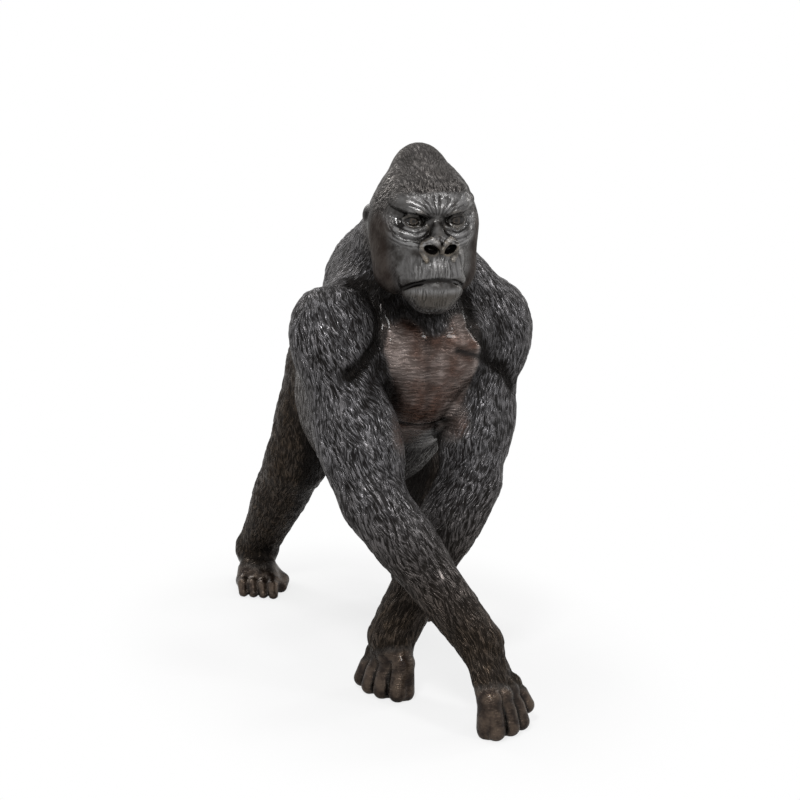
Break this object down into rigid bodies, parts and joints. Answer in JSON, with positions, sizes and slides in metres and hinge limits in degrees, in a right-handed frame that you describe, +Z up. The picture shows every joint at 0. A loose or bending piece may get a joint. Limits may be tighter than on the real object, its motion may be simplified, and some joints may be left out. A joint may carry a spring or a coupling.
{
  "type": "gorilla figurine",
  "caption": "Life-size patinated bronze silverback gorilla walking on its knuckles with crossed forearms, cast as one hollow piece.",
  "frame": {"origin": "on the floor, under the middle of the animal's bounding box", "axes": "+Z up; the animal faces -Y, so +Y runs towards its rump; +X is the animal's left"},
  "size_m": [0.616, 1.5124, 1.2958],
  "materials": {
    "bronze": "dark brown-black patinated cast bronze, semi-gloss, worn lighter on ridges"
  },
  "bodies": {
    "root": {"gorilla": "bronze"}
  },
  "joints": []
}
